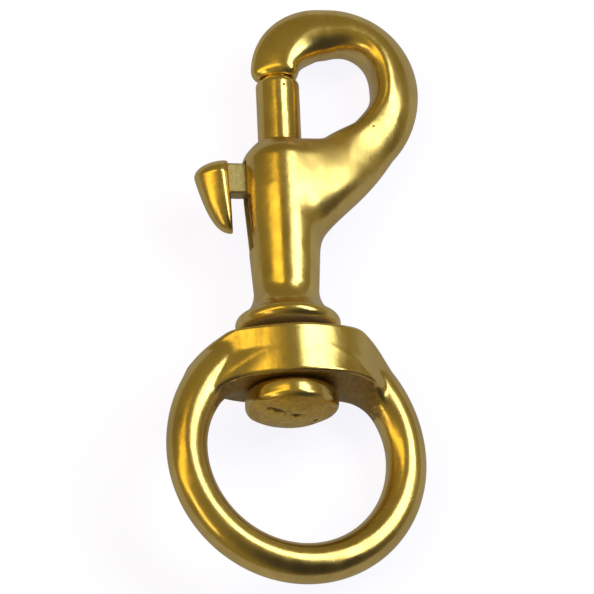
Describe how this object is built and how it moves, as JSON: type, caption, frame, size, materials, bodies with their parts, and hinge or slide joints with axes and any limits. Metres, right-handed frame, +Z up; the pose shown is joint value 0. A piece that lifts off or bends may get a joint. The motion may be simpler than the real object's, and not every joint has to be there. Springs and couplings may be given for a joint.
{
  "type": "swivel eye bolt snap",
  "caption": "Polished brass snap hook closed by a sprung sliding bolt with a thumb knob, on a ring eye that swivels on a rivet.",
  "frame": {"origin": "centre of the footprint on the surface that the snap lies on", "axes": "+Y from the eye to the hook along the barrel, +X toward the hook's bow, +Z up from the surface"},
  "size_m": [0.0372, 0.085, 0.0152],
  "materials": {
    "polished_brass": "polished cast brass with small pits",
    "dull_brass": "polished rim and a dull peened face",
    "spring_steel": "drawn wire"
  },
  "bodies": {
    "hook": {"hook_body": "polished_brass", "swivel_stud": "dull_brass", "spring": "spring_steel"},
    "bolt": {"plunger": "polished_brass", "thumb_stud": "polished_brass"},
    "eye": {"swivel_eye": "polished_brass"}
  },
  "joints": [
    {"name": "bolt_slide", "type": "slide", "parent": "hook", "child": "bolt", "axis": [0, -0.999, 0.0454], "range_m": [0, 0.008], "stiffness_N_per_m": 300, "springref_m": -0.008, "deforming": ["spring"]},
    {"name": "eye_swivel", "type": "hinge", "parent": "hook", "child": "eye", "pos_m": [-0.00124, -0.01085, 0.00757], "axis": [0, 0.999, -0.0454], "continuous": true}
  ]
}
